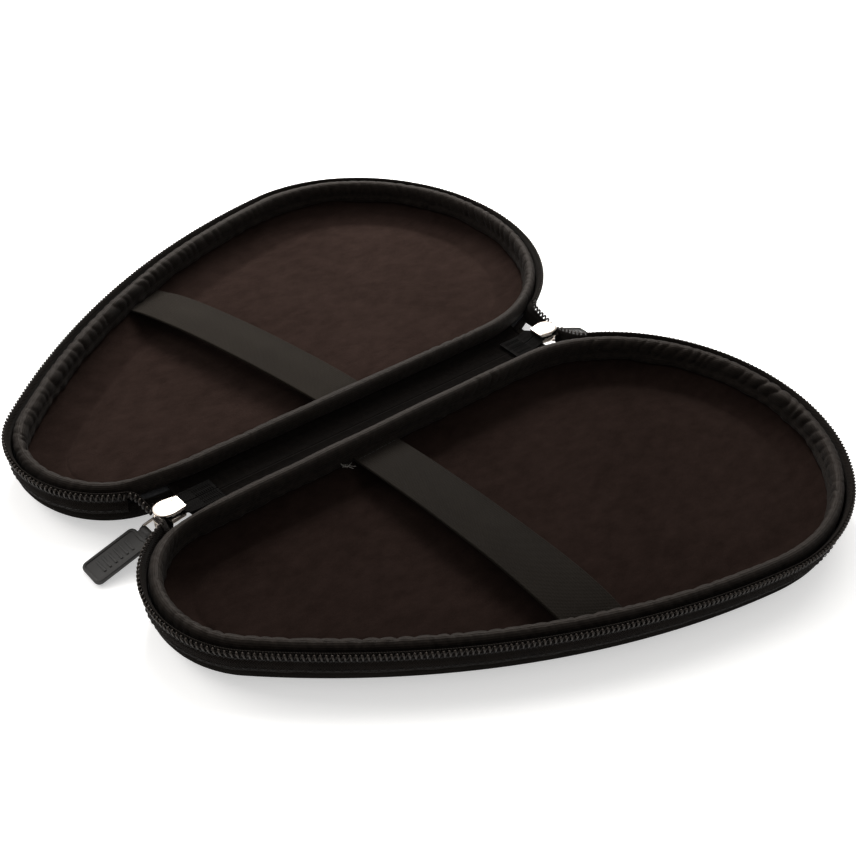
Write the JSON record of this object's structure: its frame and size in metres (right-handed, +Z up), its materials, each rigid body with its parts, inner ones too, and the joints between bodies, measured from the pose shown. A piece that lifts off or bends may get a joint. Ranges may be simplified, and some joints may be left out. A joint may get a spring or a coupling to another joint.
{
  "type": "paddle case",
  "caption": "Zip-round clamshell case for a table tennis paddle, lying open, with velour lining, padded rims, elastic straps and zip sliders.",
  "frame": {"origin": "on the surface the open case lies on, at the middle of its footprint", "axes": "+Z up; +X across the hinge towards the base half; +Y along the hinge towards the wide end"},
  "size_m": [0.3626, 0.3118, 0.0237],
  "materials": {
    "cover_fabric": "fine woven black polyester bonded to the moulded foam",
    "eva_foam": "matte closed-cell foam",
    "velour_lining": "short-pile dark brown-black velour",
    "binding_satin": "black satin-weave nylon, gathered",
    "strap_elastic": "black ribbed woven elastic",
    "zip_tape": "black herringbone zip tape",
    "zip_nylon": "black nylon coil",
    "nickel": "bright nickel plating",
    "pull_rubber": "matte moulded rubber"
  },
  "bodies": {
    "base": {"base_cover": "cover_fabric", "base_shell": "eva_foam", "base_lining": "velour_lining", "base_binding": "binding_satin", "base_zip_tape": "zip_tape", "base_zip_coil": "zip_nylon", "base_strap": "strap_elastic"},
    "spine": {"spine_strip": "cover_fabric", "spine_lining": "velour_lining", "near_chain_end": "zip_tape", "far_chain_end": "zip_tape"},
    "lid": {"lid_cover": "cover_fabric", "lid_shell": "eva_foam", "lid_lining": "velour_lining", "lid_binding": "binding_satin", "lid_zip_tape": "zip_tape", "lid_zip_coil": "zip_nylon", "lid_strap": "strap_elastic"},
    "near_slider": {"near_slider": "nickel"},
    "near_link": {"near_pull_link": "nickel"},
    "near_tab": {"near_pull_tab": "pull_rubber"},
    "far_slider": {"far_slider": "nickel"},
    "far_link": {"far_pull_link": "nickel"},
    "far_tab": {"far_pull_tab": "pull_rubber"}
  },
  "joints": [
    {"name": "spine_fold", "type": "hinge", "parent": "base", "child": "spine", "pos_m": [0.009, 0, 0.015], "axis": [0, 1, 0], "range_deg": [0, 90]},
    {"name": "lid_fold", "type": "hinge", "parent": "spine", "child": "lid", "pos_m": [-0.009, 0, 0.015], "axis": [0, 1, 0], "range_deg": [0, 90]},
    {"name": "near_slider_slide", "type": "slide", "parent": "spine", "child": "near_slider", "axis": [0, -1, 0], "range_m": [-0.001, 0.004]},
    {"name": "near_link_swing", "type": "hinge", "parent": "near_slider", "child": "near_link", "pos_m": [0, -0.1218, 0.01235], "axis": [1, 0, 0], "range_deg": [-17, 95]},
    {"name": "near_tab_swing", "type": "hinge", "parent": "near_link", "child": "near_tab", "pos_m": [0, -0.12885, 0.01046], "axis": [1, 0, 0], "range_deg": [-60, 60]},
    {"name": "far_slider_slide", "type": "slide", "parent": "spine", "child": "far_slider", "axis": [0, 1, 0], "range_m": [-0.001, 0.004]},
    {"name": "far_link_swing", "type": "hinge", "parent": "far_slider", "child": "far_link", "pos_m": [0, 0.1018, 0.01415], "axis": [-1, 0, 0], "range_deg": [-17, 95]},
    {"name": "far_tab_swing", "type": "hinge", "parent": "far_link", "child": "far_tab", "pos_m": [0, 0.10885, 0.01226], "axis": [-1, 0, 0], "range_deg": [-60, 60]}
  ],
  "couplings": [
    {"joint": "lid_fold", "follows": "spine_fold", "ratio": 1}
  ]
}
